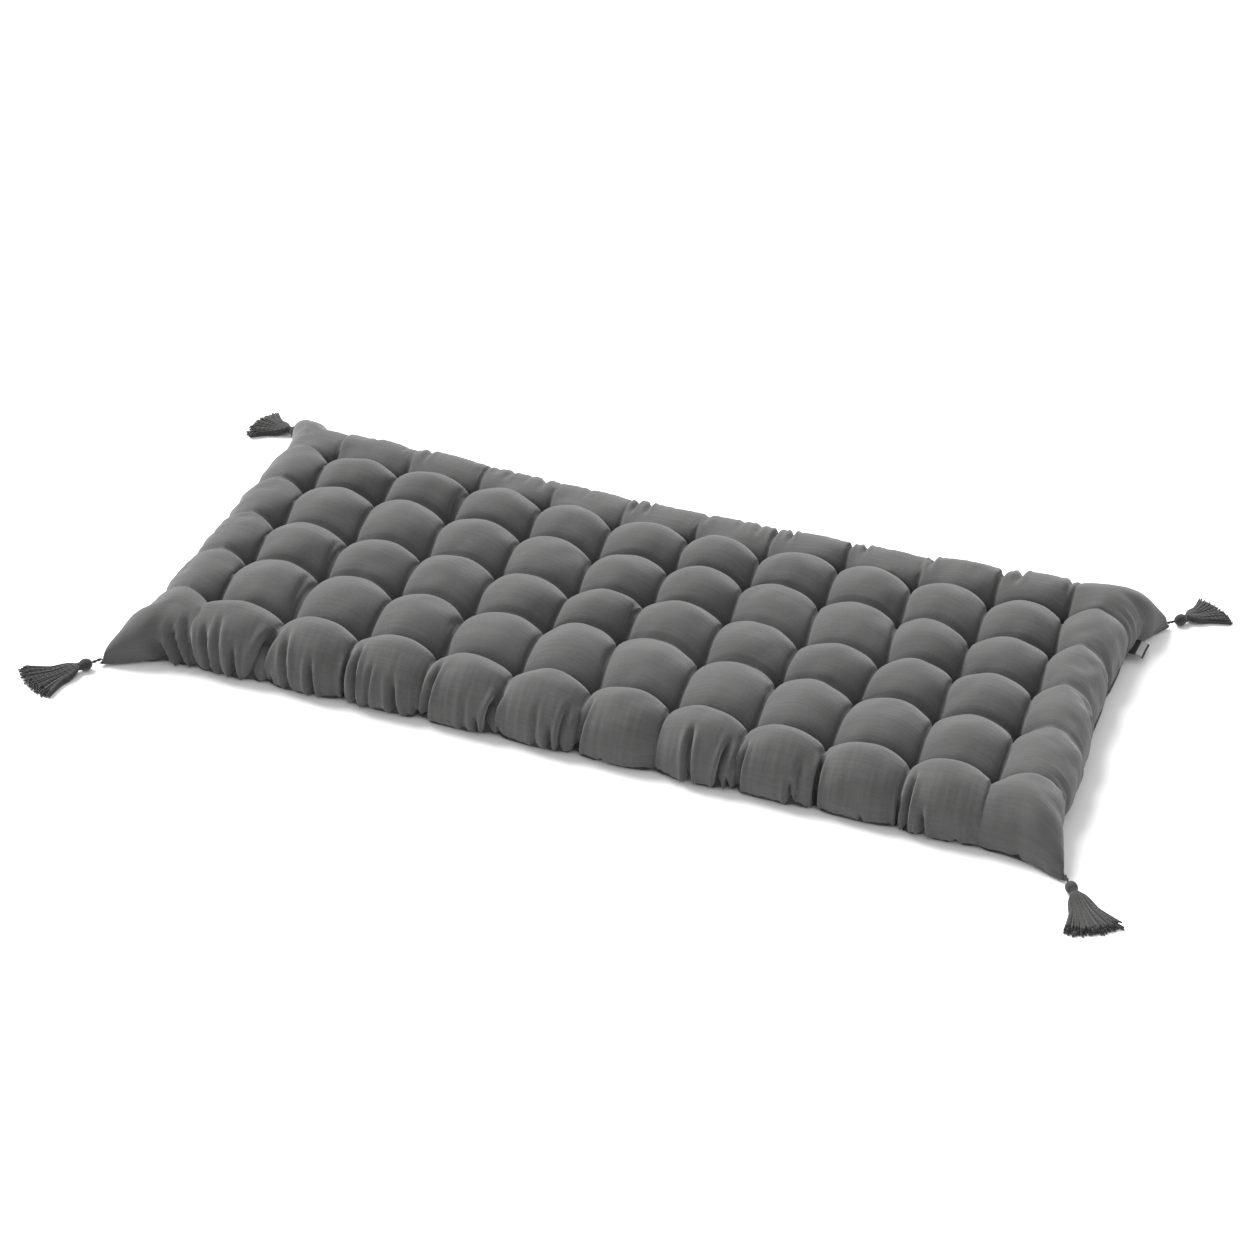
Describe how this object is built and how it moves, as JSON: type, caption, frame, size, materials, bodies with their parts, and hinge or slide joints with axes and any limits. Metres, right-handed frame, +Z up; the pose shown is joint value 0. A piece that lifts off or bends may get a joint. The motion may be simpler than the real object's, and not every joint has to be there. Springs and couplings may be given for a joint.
{
  "type": "floor mattress",
  "caption": "Tufted cotton floor mattress with domed pillows in a square grid, drawn-in sides, pointed corner ears and a tassel at each corner.",
  "frame": {"origin": "on the floor, under the middle of the mattress and its tassels", "axes": "+X along the length, to the right as seen from the near long side; +Y across the width, away from the near side; +Z up"},
  "size_m": [1.3767, 0.8137, 0.0824],
  "materials": {
    "cotton_cover": "matt plain-woven cotton",
    "cotton_yarn": "matt twisted cotton yarn",
    "woven_tag": "smooth woven tape, bare"
  },
  "bodies": {
    "root": {"mattress": "cotton_cover", "tassel_front_left": "cotton_yarn", "tassel_front_right": "cotton_yarn", "tassel_back_left": "cotton_yarn", "tassel_back_right": "cotton_yarn", "label_tag": "woven_tag"}
  },
  "joints": []
}
